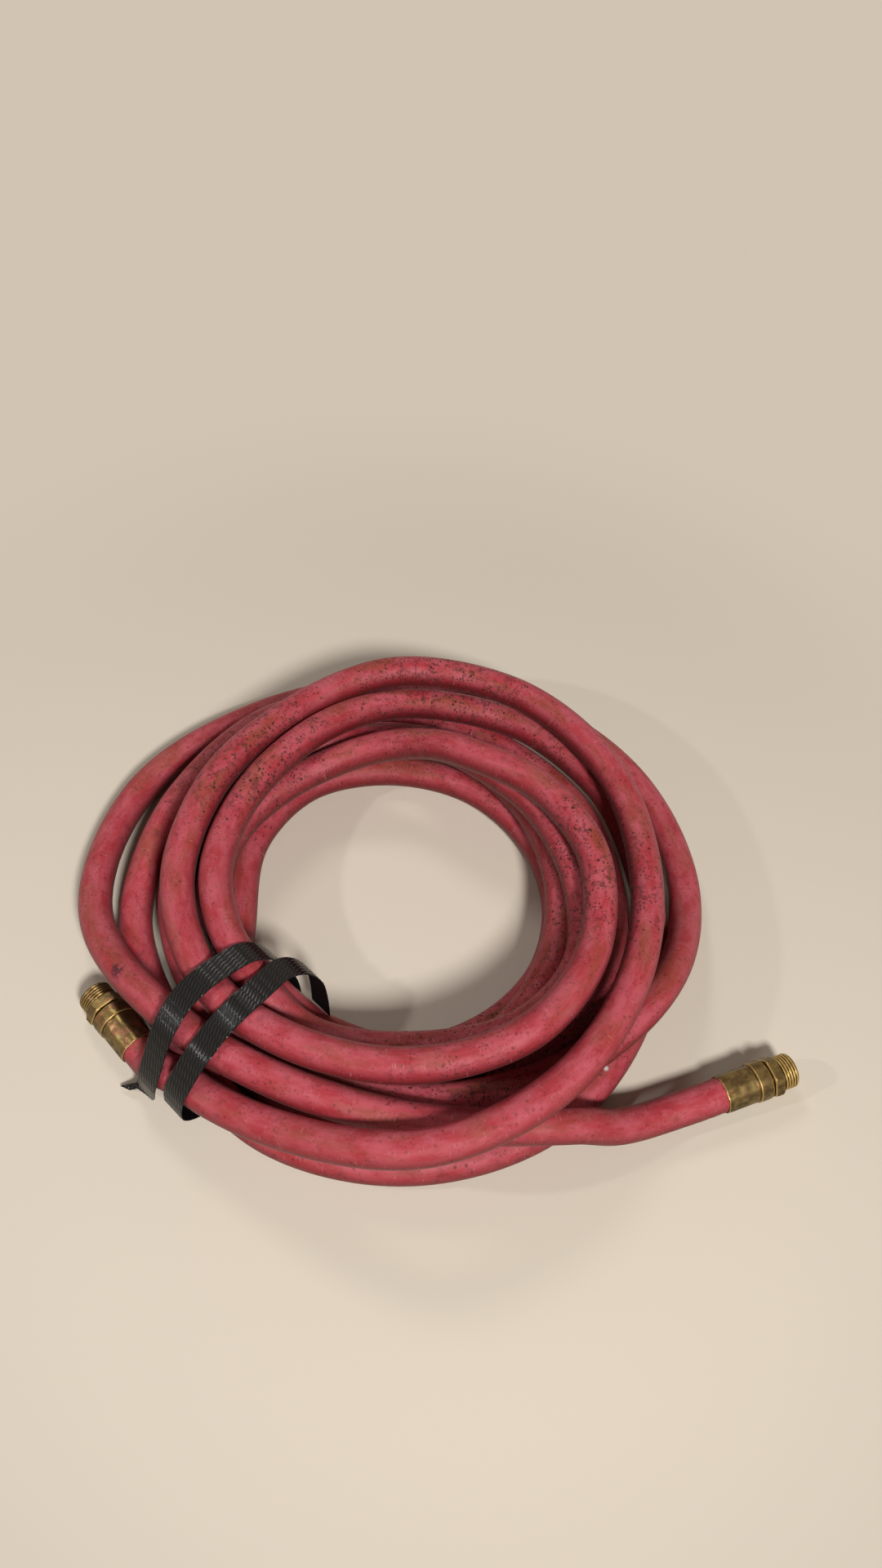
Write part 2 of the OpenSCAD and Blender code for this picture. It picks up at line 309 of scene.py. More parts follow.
def sweep_hose():
    points = np.vstack([left_mouth + left_axis * HOSE_IN_SKIRT, curve_points,
                        right_mouth + right_axis * HOSE_IN_SKIRT])
    ways = np.vstack([-left_axis, curve_ways, right_axis])
    along = np.concatenate([[0], np.cumsum(np.linalg.norm(np.diff(points, axis=0), axis=1))])
    side, top = frames(ways)
    from_left = along - HOSE_IN_SKIRT
    from_right = along[-1] - HOSE_IN_SKIRT - along
    radius = np.full(len(points), HOSE_OD / 2)
    short, long = UNEVEN_WAVES
    radius -= UNEVEN * (1 + np.sin(along * short) * np.sin(along * long + 1.0))
    for ring in CRIMP_RINGS:
        for reach in (from_left, from_right):
            radius -= CRIMP_RING_DEPTH * np.exp(-((reach - ring) / CRIMP_RING_WIDTH) ** 2)

    def tube(sides, radii):
        turn = 2 * np.pi * np.arange(sides) / sides
        flat = np.stack([np.cos(turn), np.sin(turn)], 1)
        rows = (points[:, None] + radii[:, None, None]
                * (flat[None, :, :1] * side[:, None] + flat[None, :, 1:] * top[:, None]))
        straight = np.concatenate([radii[:, None, None] * flat[None],
                                   np.broadcast_to(along[:, None, None], rows.shape[:2] + (1,))], 2)
        return rows, straight

    outer, outer_straight = tube(HOSE_SIDES, radius)
    bore, bore_straight = tube(BORE_SIDES, np.full(len(points), HOSE_BORE / 2))
    parts = [skin(outer, outer_straight), skin(bore, bore_straight, flip=True)]
    piece = weld_and_make("gas_hose", parts, HOSE_SHARP_ANGLE)
    add_end_walls(piece)
    return piece, points


def add_end_walls(piece):
    """Closes the rubber wall at both ends, between the outside and the bore."""
    mesh = bmesh.new()
    mesh.from_mesh(piece.data)
    open_edges = [e for e in mesh.edges if e.is_boundary]
    middle = Vector((left_mouth + right_mouth) / 2)
    for keep_left in (True, False):
        axis = Vector(left_mouth - right_mouth)
        these = [e for e in open_edges
                 if ((e.verts[0].co - middle).dot(axis) > 0) == keep_left]
        bmesh.ops.bridge_loops(mesh, edges=these)
    bmesh.ops.recalc_face_normals(mesh, faces=mesh.faces)
    mesh.to_mesh(piece.data)
    mesh.free()


gas_hose, hose_line = sweep_hose()
print("gas_hose:", len(gas_hose.data.polygons), "faces")

# %% [markdown]
# ## The brass ends
#
# Each end is two pieces. The ferrule is a sleeve squeezed over the rubber: a
# skirt with eight flats from the jaws, and a round collar. The stem is one
# turned bar: a tail inside the hose, a groove, a hexagon and a pipe thread. A
# lathe part is best described by its radius along its axis. Here the radius may
# depend on the angle too, and that one function gives the flats, the hexagon
# and a true helical thread from the same rows of points.

# %% Make a turned piece
FERRULE_LENGTH = SKIRT_LENGTH + COLLAR_LENGTH
CLEARANCE = 0.00005
SKIRT_WALL = 0.00085
SKIRT_INSIDE = HOSE_OD / 2 + CLEARANCE
SKIRT_RADIUS = SKIRT_INSIDE + SKIRT_WALL
COLLAR_STEP = 0.0006
COLLAR_RADIUS = SKIRT_RADIUS + COLLAR_STEP
CRIMP_DEPTH = 0.00035
NECK_RADIUS = 0.007
GROOVE_LENGTH = 0.0015
GROOVE_RADIUS = 0.0095
HEX_START = FERRULE_LENGTH + GROOVE_LENGTH
HEX_LENGTH = 0.007
HEX_HALF = 0.0111
THREAD_START = HEX_START + HEX_LENGTH
THREAD_LENGTH = 0.0105
FITTING_LENGTH = THREAD_START + THREAD_LENGTH
THREAD_RADIUS = 0.01065
THREAD_PITCH = 0.001814
THREAD_DEPTH = 0.0009
STEM_BORE_RADIUS = 0.00475
LATHE_SIDES = 96
FERRULE_SHARP_ANGLE = 28
STEM_SHARP_ANGLE = 40
lathe_angles = 2 * np.pi * np.arange(LATHE_SIDES) / LATHE_SIDES


def turned_piece(name, stations, mouth, axis, sharp_angle):
    """A closed skin from (distance, radius) stations round an axis.

    A radius is a number, or one number for each angle."""
    side, top = frames(axis[None])
    rows, straights = [], []
    for reach, radius in stations:
        radius = np.broadcast_to(radius, lathe_angles.shape)
        x, y = radius * np.cos(lathe_angles), radius * np.sin(lathe_angles)
        rows.append(mouth + axis * reach + x[:, None] * side + y[:, None] * top)
        straights.append(np.stack([x, y, np.full(len(x), reach)], 1))
    rows.append(rows[0])
    straights.append(straights[0])
    return weld_and_make(name, [skin(np.array(rows), np.array(straights))], sharp_angle)


def many_sided(flats, half):
    """Radius of a prism at each angle."""
    step = 2 * np.pi / flats
    return half / np.cos(lathe_angles % step - step / 2)


def softer_of(a, b, blend):
    """The smaller of two radii, with the corner between them rounded."""
    share = np.clip(0.5 + 0.5 * (b - a) / blend, 0, 1)
    return b * (1 - share) + a * share - blend * share * (1 - share)


def quarter_turns(steps=4):
    """Angles from 0 to a right angle, for rounding an edge."""
    return [math.pi / 2 * k / steps for k in range(steps + 1)]


print("a lathe of", LATHE_SIDES, "sides")

# %% [markdown]
# ## The ferrules
#
# The jaws left flats with soft ridges between them, and the flats run out just
# before the collar. The skirt's mouth is rolled a little, and the collar's two
# edges are broken. Rows crowd together where the form turns quickly, so the
# edge keeps a narrow bright line.

# %% Turn the ferrules
MOUTH_ROLL = 0.0006
MOUTH_FLARE = 0.0003
FLATS = 8
FLATS_START = 0.0012
FLATS_ROWS = 34
FLAT_RUN_OUT = 0.002
RIDGE_ROUNDING = 0.0003
DIMPLE_DEPTH = 0.00006
DIMPLE_WAVES = 900
COLLAR_EDGE = 0.0005


def skirt_outside():
    """Stations of the rolled mouth and of the flats that the jaws left."""
    flats = many_sided(FLATS, SKIRT_RADIUS - CRIMP_DEPTH)
    stations = []
    for turn in quarter_turns():
        reach = MOUTH_ROLL * (1 - math.cos(turn))
        radius = SKIRT_RADIUS - MOUTH_ROLL * (1 - math.sin(turn))
        stations.append((reach, softer_of(radius, flats, RIDGE_ROUNDING)))
    for reach in np.linspace(FLATS_START, SKIRT_LENGTH, FLATS_ROWS):
        fade = np.clip((SKIRT_LENGTH - reach) / FLAT_RUN_OUT, 0, 1)
        fade = fade * fade * (3 - 2 * fade)
        bite = flats + (1 - fade) * CRIMP_DEPTH
        dimple = DIMPLE_DEPTH * math.sin(reach * DIMPLE_WAVES) * fade
        stations.append((float(reach), softer_of(SKIRT_RADIUS, bite - dimple, RIDGE_ROUNDING)))
    return stations


def collar_outside():
    """Stations of the collar, with both of its edges rounded."""
    stations = []
    for turn in quarter_turns():
        stations.append((SKIRT_LENGTH + COLLAR_EDGE * (1 - math.cos(turn)),
                         COLLAR_RADIUS - COLLAR_EDGE * (1 - math.sin(turn))))
    for k in range(1, 4):
        stations.append((SKIRT_LENGTH + COLLAR_EDGE + k * (COLLAR_LENGTH - 2 * COLLAR_EDGE) / 4,
                         COLLAR_RADIUS))
    for turn in quarter_turns():
        stations.append((FERRULE_LENGTH - COLLAR_EDGE * (1 - math.sin(turn)),
                         COLLAR_RADIUS - COLLAR_EDGE * (1 - math.cos(turn))))
    return stations


def ferrule_stations():
    inside = [(HOSE_IN_SKIRT, NECK_RADIUS), (HOSE_IN_SKIRT, SKIRT_INSIDE),
              (MOUTH_ROLL, SKIRT_INSIDE), (0.0, HOSE_OD / 2 + MOUTH_FLARE)]
    return inside + skirt_outside() + collar_outside() + [(FERRULE_LENGTH, NECK_RADIUS)]


ferrules = [turned_piece("left_brass_ferrule", ferrule_stations(), left_mouth, left_axis,
                         FERRULE_SHARP_ANGLE),
            turned_piece("right_brass_ferrule", ferrule_stations(), right_mouth, right_axis,
                         FERRULE_SHARP_ANGLE)]
print("ferrules:", [len(f.data.polygons) for f in ferrules], "faces")

# %% [markdown]
# ## The stems
#
# The hexagon is a six-sided bar turned down at its two corners, so its radius is
# the smaller of the prism's and a cone's. The thread's radius depends on the
# distance and the angle together: moving once round moves the groove on by one
# pitch, which is what makes it a helix. It fades out at the nose's chamfer.

# %% Turn the stems
TAIL_START = 0.001
TAIL_RADIUS = HOSE_BORE / 2 - CLEARANCE
TAIL_EDGE = 0.0004
HEX_SIDES = 6
HEX_ROWS = 29
HEX_END_STEP = 0.0006
HEX_END_RADIUS = HEX_HALF + HEX_END_STEP
NOSE_CHAMFER = 0.0012
THREAD_ROWS = 84
THREAD_RELIEF = 0.0009
RIDGE_STEEPNESS = 2.3
BORE_CHAMFER = 0.0005


def thread_radius(reach):
    """Radius of the thread at each angle, this far along the fitting."""
    phase = ((reach - THREAD_START) / THREAD_PITCH - lathe_angles / (2 * np.pi)) % 1.0
    ridge = np.clip(RIDGE_STEEPNESS * (1 - np.abs(2 * phase - 1)), 0, 1)
    return THREAD_RADIUS - THREAD_DEPTH * (1 - ridge)


def stem_stations():
    hexagon = many_sided(HEX_SIDES, HEX_HALF)
    stations = [(TAIL_START, STEM_BORE_RADIUS), (TAIL_START, TAIL_RADIUS - TAIL_EDGE),
                (TAIL_START + TAIL_EDGE, TAIL_RADIUS), (HOSE_IN_SKIRT, TAIL_RADIUS),
                (HOSE_IN_SKIRT, NECK_RADIUS), (FERRULE_LENGTH, NECK_RADIUS),
                (FERRULE_LENGTH, GROOVE_RADIUS), (HEX_START, GROOVE_RADIUS)]
    for reach in np.linspace(0, HEX_LENGTH, HEX_ROWS):
        cone = HEX_END_RADIUS + min(reach, HEX_LENGTH - reach)
        stations.append((HEX_START + float(reach), np.minimum(hexagon, cone)))
    for reach in np.linspace(0, THREAD_LENGTH, THREAD_ROWS):
        at = THREAD_START + float(reach)
        nose = THREAD_RADIUS - max(0.0, at - (FITTING_LENGTH - NOSE_CHAMFER))
        relief = THREAD_RADIUS - THREAD_DEPTH * max(0.0, 1 - float(reach) / THREAD_RELIEF)
        stations.append((at, np.minimum(np.minimum(thread_radius(at), nose), relief)))
    for k in range(4):
        reach = FITTING_LENGTH - BORE_CHAMFER * (k / 3)
        stations.append((reach, STEM_BORE_RADIUS + BORE_CHAMFER * (1 - k / 3)))
    return stations


stems = [turned_piece("left_brass_stem", stem_stations(), left_mouth, left_axis,
                      STEM_SHARP_ANGLE),
         turned_piece("right_brass_stem", stem_stations(), right_mouth, right_axis,
                      STEM_SHARP_ANGLE)]
print("stems:", [len(s.data.polygons) for s in stems], "faces")

# %% [markdown]
# ## The strap
#
# The strap is a band of packing plastic with slanting, lens-shaped cells pressed
# into it. Two sets of slanting grooves that cross at a small angle give cells of
# that kind. The band is swept along its
# own route, over the turns, under them and over again, with its width kept
# along the hose. Its tail is cut narrow and runs out to a point.

# %% Lay the strap
STRAP_WIDTH = 0.016
STRAP_THICKNESS = 0.0008
STRAP_FLOOR = 0.0005
STRAP_ANGLE = math.radians(222)
STRAP_OUT = np.array([math.cos(STRAP_ANGLE), math.sin(STRAP_ANGLE), 0.0])
STRAP_SIDE = np.array([-math.sin(STRAP_ANGLE), math.cos(STRAP_ANGLE), 0.0])
# Places as (lane, drift in millimetres along the hose, layer)
STRAP_OVER = [(4.62, -27, -0.36), (4.33, -20.5, -0.14), (4.3, -17, 0.2), (4.25, -15, 0.75),
              (3.9, -16, 1.45), (3.25, -20, 2.25), (2.35, -24, 2.65), (1.6, -24, 2.75),
              (0.6, -21, 2.75), (0, -18, 2.4), (-0.4, -14, 1.6), (-0.55, -8, 0.9),
              (-0.3, -2, 0)]
STRAP_UNDER = [(0.2, 1), (1.3, 3), (3.1, 6)]
STRAP_AGAIN = [(3.7, 7, -0.15), (4.15, 7, 0.5), (4.05, 6, 1.15), (3.65, 6, 1.75),
               (2.95, 5, 2.3), (2.2, 3, 2.5), (1.45, 4, 2.8), (0.55, 2, 2.65),
               (-0.05, 0, 2.4), (-0.5, 2, 2.1), (-0.8, 8, 1.6), (-0.75, 14, 1.0),
               (-0.6, 19, 0.5)]
CELL_WIDTH = 0.0023
CELL_DEPTH = 0.00034
CELL_SLANTS = (0.0036, 0.009)
CELL_ROUNDNESS = 0.7
STRAP_EDGE_BAND = 0.0004
STRAP_ROW_SPACING = 0.00045
STRAP_TAIL_WIDTH = 0.005
STRAP_TIP_WIDTH = 0.0008
STRAP_TIP_LENGTH = 0.003
STRAP_TAIL_FLARE = (0.0085, 0.0135)
STRAP_SHARP_ANGLE = 50
TOP_COLUMNS = 41
UNDER_COLUMNS = 9


def strap_spot(lane, drift, height):
    reach = COIL_RADIUS + lane * PITCH
    place = np.array([COIL_CENTRE[0], COIL_CENTRE[1], height])
    return place + reach * STRAP_OUT + drift / 1000 * STRAP_SIDE


def strap_height(layer):
    return max(STRAP_FLOOR, HOSE_OD / 2 + layer * PITCH)


def strap_places():
    over = [strap_spot(a, b, strap_height(c)) for a, b, c in STRAP_OVER]
    under = [strap_spot(a, b, STRAP_FLOOR) for a, b in STRAP_UNDER]
    again = [strap_spot(a, b, strap_height(c)) for a, b, c in STRAP_AGAIN]
    return np.array(over + under + again)


def emboss(along, across):
    """Height of the pressed cells above the grooves, from 0 to 1."""
    first, second = (np.abs(np.sin(np.pi * (across / CELL_WIDTH + along / slant)))
                     for slant in CELL_SLANTS)
    return (first * second) ** CELL_ROUNDNESS


def lay_strap():
    points, ways = smooth_curve(strap_places(), STRAP_ROW_SPACING)
    along = np.concatenate([[0], np.cumsum(np.linalg.norm(np.diff(points, axis=0), axis=1))])
    out = np.cross(STRAP_SIDE, ways)
    out /= np.linalg.norm(out, axis=1)[:, None]
    half = STRAP_WIDTH / 2

    # the first end runs out in a narrow tail with a pointed tip
    wide = np.interp(along, (0, STRAP_TIP_LENGTH, *STRAP_TAIL_FLARE),
                     (STRAP_TIP_WIDTH, STRAP_TAIL_WIDTH, STRAP_TAIL_WIDTH, STRAP_WIDTH))

    def face(columns, lift, straight_lift):
        share = np.linspace(0, 1, columns)[None]
        across = (1 - share) * wide[:, None] - half
        height = lift(along[:, None], across)
        rows = (points[:, None] + across[..., None] * STRAP_SIDE
                + height[..., None] * out[:, None])
        straight = np.stack(np.broadcast_arrays(across, straight_lift, along[:, None]), 2)
        return rows, straight

    def top_lift(s, v):
        edge = np.clip((half - np.abs(v)) / STRAP_EDGE_BAND, 0, 1)
        return STRAP_THICKNESS / 2 - CELL_DEPTH + CELL_DEPTH * emboss(s, v) * edge

    top, top_straight = face(TOP_COLUMNS, top_lift, STRAP_THICKNESS / 2)
    under, under_straight = face(UNDER_COLUMNS, lambda s, v: -STRAP_THICKNESS / 2 + 0 * (s + v),
                                 -STRAP_THICKNESS / 2)
    rows = np.concatenate([top, under[:, ::-1]], 1)
    straight = np.concatenate([top_straight, under_straight[:, ::-1]], 1)
    piece = weld_and_make("embossed_strap", [skin(rows, straight, flip=True)],
                          STRAP_SHARP_ANGLE)
    return piece, float(along[-1])


embossed_strap, strap_length = lay_strap()
print("embossed_strap:", round(strap_length, 3), "m,", len(embossed_strap.data.polygons), "faces")

# %% [markdown]
# ## Cap the strap's two ends
#
# The skin is open at its first and last rows. A cut end is one flat face with a
# corner at every column, and the mesh tools make it from the open edges.

# %% Cap the ends


def cap_open_ends(piece):
    mesh = bmesh.new()
    mesh.from_mesh(piece.data)
    open_edges = [e for e in mesh.edges if e.is_boundary]
    bmesh.ops.holes_fill(mesh, edges=open_edges, sides=0)
    bmesh.ops.recalc_face_normals(mesh, faces=mesh.faces)
    mesh.to_mesh(piece.data)
    mesh.free()


cap_open_ends(embossed_strap)
print("embossed_strap, closed:", len(embossed_strap.data.polygons), "faces")

# %% [markdown]
# ## Shader sums written as plain sums
#
# A finish is a chain of small sums on noise, height and distance. Wrapping a
# node's socket in a class lets those sums be written with + and *, and each
# sign adds its own Math node. Everything that isn't a plain sum goes through
# one method, which takes the kind of node, its settings and what feeds it.

# %% Make the socket wrapper


class Flow:
    """A number, colour or vector that comes out of a node."""

    def __init__(self, tree, socket=None):
        self.tree = tree
        self.socket = socket

    def node(self, kind, settings=None, feeds=None, out=0):
        made = self.tree.nodes.new(kind)
        for name, value in (settings or {}).items():
            setattr(made, name, value)
        for name, value in (feeds or {}).items():
            if isinstance(value, Flow):
                self.tree.links.new(value.socket, made.inputs[name])
            else:
                made.inputs[name].default_value = value
        return Flow(self.tree, made.outputs[out])

    def math(self, operation, *values):
        return self.node("ShaderNodeMath", {"operation": operation}, dict(enumerate(values)))

    def __add__(self, other):
        return self.math("ADD", self, other)

    def __sub__(self, other):
        return self.math("SUBTRACT", self, other)

    def __mul__(self, other):
        return self.math("MULTIPLY", self, other)

    def __truediv__(self, other):
        return self.math("DIVIDE", self, other)

    def __rsub__(self, other):
        return self.math("SUBTRACT", other, self)

    __radd__ = __add__
    __rmul__ = __mul__

    def ramp_up(self, low, high):
        """0 below low, 1 above high, smooth between."""
        return self.node("ShaderNodeMapRange", {"interpolation_type": "SMOOTHSTEP"},
                         {"Value": self, "From Min": low, "From Max": high})

    def noise(self, scale, detail=3.0, rough=0.55):
        return self.node("ShaderNodeTexNoise", {"noise_dimensions": "3D"},
                         {"Vector": self, "Scale": scale, "Detail": detail, "Roughness": rough})

    def stretched(self, factors):
        """The vector with each axis multiplied by its own factor."""
        return self.node("ShaderNodeVectorMath", {"operation": "MULTIPLY"}, {0: self, 1: factors})

    def parts(self):
        """The vector's x, y and z."""
        split = self.node("ShaderNodeSeparateXYZ", feeds={0: self})
        return [Flow(self.tree, socket) for socket in split.socket.node.outputs]

    def between(self, first, second, factor):
        """The first colour going over to the second."""
        return self.node("ShaderNodeMix", {"data_type": "RGBA"}, {0: factor, 6: first, 7: second},
                         out=2)

    def blend_to(self, other, factor):
        """This colour going over to another one."""
        return self.between(self, other, factor)


def finish_material(name):
    """A new material: (material, a flow to start from, its shader)."""
    material = bpy.data.materials.new(name)
    material.use_nodes = True
    tree = material.node_tree
    shader = next(n for n in tree.nodes if n.type == "BSDF_PRINCIPLED")
    return material, Flow(tree), shader


def feed(shader, name, value):
    """Sets one of the shader's own sockets, from a flow or a constant."""
    if isinstance(value, Flow):
        value.tree.links.new(value.socket, shader.inputs[name])
    else:
        shader.inputs[name].default_value = value


def raise_surface(shader, height):
    """Bumps the surface by a height in metres."""
    feed(shader, "Normal", height.node("ShaderNodeBump", feeds={"Strength": 1.0, "Distance": 1.0,
                                                               "Height": height}))


def straight_place(start):
    """Where each point would lie if its piece were straight."""
    return start.node("ShaderNodeAttribute", {"attribute_name": "straight"}, out=1)


def upwardness(start):
    """1 where the surface faces up, 0 where it is upright, -1 where it faces down."""
    return start.node("ShaderNodeNewGeometry", out=1).parts()[2]


def colour(red, green, blue):
    return (red, green, blue, 1.0)


def dress(piece, material):
    piece.data.materials.clear()
    piece.data.materials.append(material)


print("shader helpers ready")

# %% [markdown]
# ## Old red rubber
#
# The rubber is a dusty rose red with a satin sheen. Short pale marks run across
# it, and its shine is broken up by fine lines across the hose, which a shallow
# weave gives. The upper side is orange-brown in patches, and black specks lie on it,
# most of all at the back of the coil and round the inside. Each of these is a
# mask of its own, of noise in the hose's straight places. Where the specks are
# thick is set by a few centres in the scene's own places. The crowns are painted
# lighter and pinker, partly as dust and partly as a painted highlight, and the
# flanks and the underside are painted a deeper red as painted shade.

# %% Make the rubber
ROSE = colour(0.44, 0.040, 0.056)
# dust and a painted highlight: the lighter, pinker rose of the crowns
DUST_AND_LIGHT_ROSE = colour(0.55, 0.100, 0.132)
# painted shade: the deep red that the flanks and the underside are darkened to
PAINTED_SHADE_RED = colour(0.13, 0.006, 0.008)
WORN_ORANGE = colour(0.26, 0.070, 0.025)
GRIME = colour(0.035, 0.014, 0.012)
PALE_MARK = colour(0.62, 0.26, 0.25)
PAINT_FLECK = colour(0.75, 0.70, 0.66)
INK = colour(0.055, 0.012, 0.03)
# where dirt has gathered, as (centre, reach)
DIRTY_PLACES = (((0.022, 0.148, 0.064), 0.10), ((-0.116, 0.092, 0.072), 0.095),
                ((0.105, -0.016, 0.085), 0.085), ((0.012, -0.112, 0.02), 0.09),
                ((0.09, -0.09, 0.03), 0.06), ((0.08, 0.09, 0.03), 0.05))
INK_MARK = ((-0.1901, -0.0608, 0.0465), 0.0075)
PAINT_SPOT = ((0.1023, -0.1274, 0.0214), 0.0022)
WEAVE_ACROSS = 62
WEAVE_PITCH = 0.0011
WEAVE_HEIGHT = 0.000018
GRAIN_HEIGHT = 0.00009
LUMP_HEIGHT = 0.0004
GRIME_HEIGHT = 0.00005


def near(start, place, centre, reach):
    """1 at a centre, fading to 0 at a reach from it."""
    gap = start.node("ShaderNodeVectorMath", {"operation": "DISTANCE"}, {0: place, 1: centre}, out=1)
    return 1 - (gap / reach).ramp_up(0.25, 1.0)


def old_rubber():
    material, start, shader = finish_material("old_red_rubber")
    straight = straight_place(start)
    place = start.node("ShaderNodeTexCoord", out=3)
    upward = upwardness(start)

    # how thick the dirt lies, from its centres
    dirt = near(start, place, *DIRTY_PLACES[0])
    for centre, reach in DIRTY_PLACES[1:]:
        dirt = start.math("MAXIMUM", dirt, near(start, place, centre, reach))

    # partly dust and partly a painted highlight: the crowns are painted lighter and pinker, more so the
    # more they face up
    tone = straight.stretched((1, 1, 0.4)).noise(140.0, 4.0, 0.6)
    dust_and_crown_light = tone.ramp_up(0.32, 0.66) * (0.2 + 0.8 * upward.ramp_up(-0.1, 0.9))

    # orange-brown patches on the upper side, and short pale marks across the hose
    worn_patch = straight.stretched((1, 1, 0.3)).noise(75.0, 4.0, 0.65).ramp_up(0.47, 0.66)
    worn = worn_patch * upward.ramp_up(0.45, 0.95) * (0.5 + 0.2 * dirt)
    cross_marks = straight.stretched((0.12, 0.12, 1)).noise(1300.0, 2.0, 0.5).ramp_up(0.60, 0.74)
    cross_marks = cross_marks * straight.noise(150.0, 2.0).ramp_up(0.48, 0.62) * 0.5

    # painted shade: the flanks and the underside are darkened to a deep red
    painted_flank_shade = (1 - upward.ramp_up(-0.15, 1.0)) * 0.95

    def specks(scale, size):
        """Dots with ragged rims, their size given as a share of their spacing."""
        apart = straight.node("ShaderNodeTexVoronoi", {"feature": "F1"},
                              {"Vector": straight, "Scale": scale, "Randomness": 1.0})
        apart = apart + 0.3 * straight.noise(1100.0, 2.0)
        return 1 - apart.ramp_up(0.15 + size * 0.7, 0.15 + size)

    coarse = specks(185.0, 0.22) * (0.45 + 0.8 * dirt) * straight.noise(60.0, 2.0).ramp_up(0.35, 0.58)
    fine = specks(450.0, 0.33) * (0.35 + 0.8 * dirt) * straight.noise(95.0, 3.0).ramp_up(0.40, 0.58)
    mottle = straight.noise(260.0, 6.0, 0.75).ramp_up(0.52, 0.60) * dirt
    smudge = straight.noise(110.0, 6.0, 0.75).ramp_up(0.55, 0.66) * (0.35 + 0.3 * dirt)
    grime = start.math("MAXIMUM", start.math("MAXIMUM", coarse, fine), mottle * 0.7)
    grime = start.math("MINIMUM", start.math("MAXIMUM", grime, smudge), 1.0)

    ink = near(start, place, *INK_MARK) * straight.noise(420.0, 3.0).ramp_up(0.38, 0.5)
    fleck = near(start, place, *PAINT_SPOT)

    rubber = start.between(ROSE, DUST_AND_LIGHT_ROSE, dust_and_crown_light)
    rubber = rubber.blend_to(PAINTED_SHADE_RED, painted_flank_shade)
    rubber = rubber.blend_to(WORN_ORANGE, worn)
    rubber = rubber.blend_to(PALE_MARK, cross_marks)
    rubber = rubber.blend_to(GRIME, grime * 0.9)
    rubber = rubber.blend_to(INK, ink * 0.85)
    rubber = rubber.blend_to(PAINT_FLECK, fleck)
    feed(shader, "Base Color", rubber)
    feed(shader, "Roughness", 0.40 + 0.16 * tone + 0.18 * worn + 0.15 * grime)
    shader.inputs["Specular IOR Level"].default_value = 0.25
    shader.inputs["Sheen Weight"].default_value = 0.04
    shader.inputs["Sheen Roughness"].default_value = 0.5

    x, y, z = straight.parts()
    weave = (start.math("SINE", start.math("ARCTAN2", y, x) * WEAVE_ACROSS)
             * start.math("SINE", z * (2 * math.pi / WEAVE_PITCH)))
    height = (weave * WEAVE_HEIGHT + straight.noise(1900.0, 3.0) * GRAIN_HEIGHT
              + straight.noise(95.0, 2.0) * LUMP_HEIGHT + grime * GRIME_HEIGHT)
    raise_surface(shader, height)
    return material


dress(gas_hose, old_rubber())
print("rubber:", len(gas_hose.data.materials[0].node_tree.nodes), "nodes")

# %% [markdown]
# ## Aged brass
#
# The brass is olive and brown over most of its surface, and golden on its edges
# and thread crests. Its radius and its distance along
# the fitting tell the shader where those edges and crests are, so no picture is
# needed. The left end also has coppery red patches on its upper side.

# %% Make the brass
BRASS_GOLD = colour(0.56, 0.405, 0.155)
BRASS_OLIVE = colour(0.080, 0.060, 0.028)
BRASS_BROWN = colour(0.080, 0.038, 0.013)
BRASS_COPPER = colour(0.36, 0.15, 0.10)
BRASS_GRAIN_HEIGHT = 0.000025
SCRATCH_HEIGHT = 0.000008
BRASS_LUMP_HEIGHT = 0.00006


def aged_brass(name, bright_lines, dark_lines, copper, tarnished, thread=None):
    """Brass with golden rims and dark grooves at the given distances, as (place, half width)."""
    material, start, shader = finish_material(name)
    straight = straight_place(start)
    x, y, reach = straight.parts()
    radius = start.math("SQRT", x * x + y * y)
    upward = upwardness(start)

    def line(place, half_width):
        return 1 - (start.math("ABSOLUTE", reach - place) / half_width).ramp_up(0.4, 1.0)

    tarnish = straight.noise(190.0, 4.0, 0.6).ramp_up(0.36, 0.62)
    stain = straight.stretched((1, 1, 0.45)).noise(230.0, 5.0, 0.6).ramp_up(0.50, 0.68)
    scratches = straight.stretched((1, 1, 0.08)).noise(2600.0, 2.0).ramp_up(0.55, 0.75)
    brass = start.between(BRASS_GOLD, BRASS_OLIVE, tarnished * (0.72 + 0.28 * tarnish))
    brass = brass.blend_to(BRASS_BROWN, stain * 0.75)
    patches = straight.noise(210.0, 4.0, 0.6).ramp_up(0.44, 0.58) * upward.ramp_up(0.35, 0.8)
    brass = brass.blend_to(BRASS_COPPER, patches * copper)
    rough = 0.33 + 0.12 * tarnish + 0.10 * stain + 0.08 * scratches
    if thread is not None:
        crests, hollows = thread
        on_thread = reach.ramp_up(THREAD_START - 0.0002, THREAD_START + 0.0002)
        crest = radius.ramp_up(THREAD_RADIUS - 0.0004, THREAD_RADIUS - 0.00005)
        brass = brass.blend_to(BRASS_GOLD, on_thread * crest * crests)
        brass = brass.blend_to(BRASS_BROWN, on_thread * (1 - crest) * hollows)
    for place, half_width in bright_lines:
        brass = brass.blend_to(BRASS_GOLD, line(place, half_width) * 0.7)
    for place, half_width in dark_lines:
        brass = brass.blend_to(BRASS_BROWN, line(place, half_width) * 0.9)
    feed(shader, "Base Color", brass)
    feed(shader, "Metallic", 1.0)
    feed(shader, "Roughness", rough)
    height = (straight.noise(900.0, 4.0, 0.6) * BRASS_GRAIN_HEIGHT + scratches * SCRATCH_HEIGHT
              + straight.noise(260.0, 2.0) * BRASS_LUMP_HEIGHT)
    raise_surface(shader, height)
    return material


